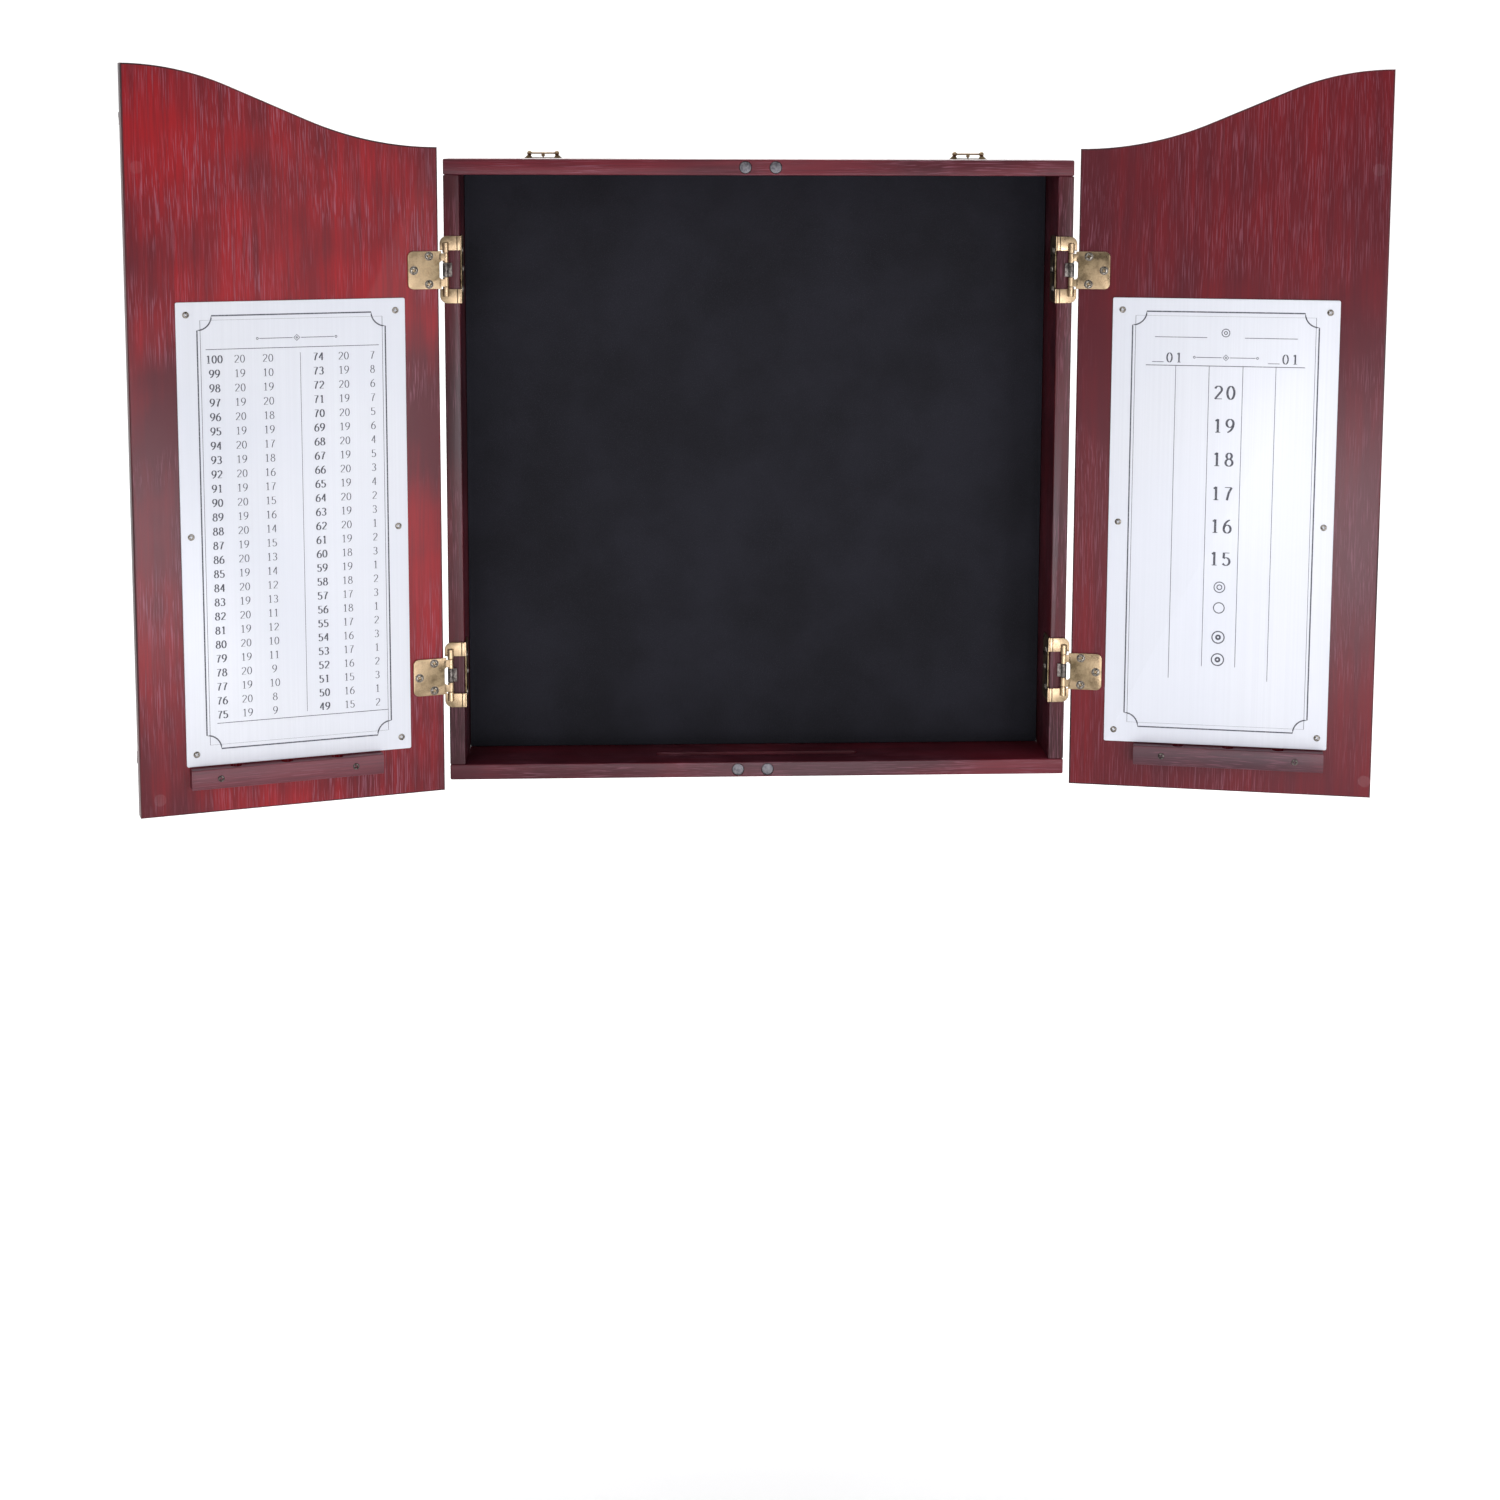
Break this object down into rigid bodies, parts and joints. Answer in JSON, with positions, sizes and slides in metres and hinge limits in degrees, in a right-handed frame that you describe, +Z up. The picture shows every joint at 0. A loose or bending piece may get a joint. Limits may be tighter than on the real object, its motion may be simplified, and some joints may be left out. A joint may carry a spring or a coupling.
{
  "type": "dartboard wall cabinet",
  "caption": "Shallow wooden wall cabinet with two arched doors on wrap-around spring hinges, a black felt lining and a white scoreboard inside each door.",
  "frame": {"origin": "centre of the rear face, which lies flat on the wall", "axes": "+X to the right seen from the room, +Y into the wall, +Z up; the cabinet opens towards -Y"},
  "size_m": [1.0192, 0.153, 0.6017],
  "materials": {
    "wood": "satin cherry stain",
    "dark_wood": "satin dark cherry stain",
    "felt": "matt black felt",
    "brass": "antique brass",
    "steel": "zinc-plated steel",
    "magnet": "dull grey",
    "chart": "satin white"
  },
  "bodies": {
    "case": {"case_top": "wood", "case_bottom": "wood", "case_side_left": "wood", "case_side_right": "wood", "back_panel": "dark_wood", "felt_lining": "felt", "hanger_left": "brass", "hanger_right": "brass", "magnet_top_left": "magnet", "magnet_top_right": "magnet", "magnet_bottom_left": "magnet", "magnet_bottom_right": "magnet", "hinge_frame_leaf_upper_left": "brass", "hinge_pin_upper_left": "steel", "hinge_spring_upper_left": "steel", "hinge_frame_leaf_lower_left": "brass", "hinge_pin_lower_left": "steel", "hinge_spring_lower_left": "steel", "hinge_frame_leaf_upper_right": "brass", "hinge_pin_upper_right": "steel", "hinge_spring_upper_right": "steel", "hinge_frame_leaf_lower_right": "brass", "hinge_pin_lower_right": "steel", "hinge_spring_lower_right": "steel"},
    "left_door": {"door_panel_left": "wood", "moulding_side_left": "dark_wood", "moulding_bottom_left": "dark_wood", "moulding_top_left": "dark_wood", "scoreboard_left": "chart", "scoreboard_screw_1_left": "steel", "scoreboard_screw_2_left": "steel", "scoreboard_screw_3_left": "steel", "scoreboard_screw_4_left": "steel", "scoreboard_screw_5_left": "steel", "scoreboard_screw_6_left": "steel", "dart_holder_left": "dark_wood", "dart_holder_screw_1_left": "steel", "dart_holder_screw_2_left": "steel", "hinge_door_leaf_upper_left": "brass", "hinge_door_leaf_lower_left": "brass", "strike_top_left": "steel", "strike_bottom_left": "steel"},
    "right_door": {"door_panel_right": "wood", "moulding_side_right": "dark_wood", "moulding_bottom_right": "dark_wood", "moulding_top_right": "dark_wood", "scoreboard_right": "chart", "scoreboard_screw_1_right": "steel", "scoreboard_screw_2_right": "steel", "scoreboard_screw_3_right": "steel", "scoreboard_screw_4_right": "steel", "scoreboard_screw_5_right": "steel", "scoreboard_screw_6_right": "steel", "dart_holder_right": "dark_wood", "dart_holder_screw_1_right": "steel", "dart_holder_screw_2_right": "steel", "hinge_door_leaf_upper_right": "brass", "hinge_door_leaf_lower_right": "brass", "strike_top_right": "steel", "strike_bottom_right": "steel"}
  },
  "joints": [
    {"name": "left_door", "type": "hinge", "parent": "case", "child": "left_door", "pos_m": [-0.2583, -0.0716, 0], "axis": [0, 0, 1], "range_deg": [-18.3, 161.7]},
    {"name": "right_door", "type": "hinge", "parent": "case", "child": "right_door", "pos_m": [0.2583, -0.0716, 0], "axis": [0, 0, -1], "range_deg": [-12.9, 167.1]}
  ]
}
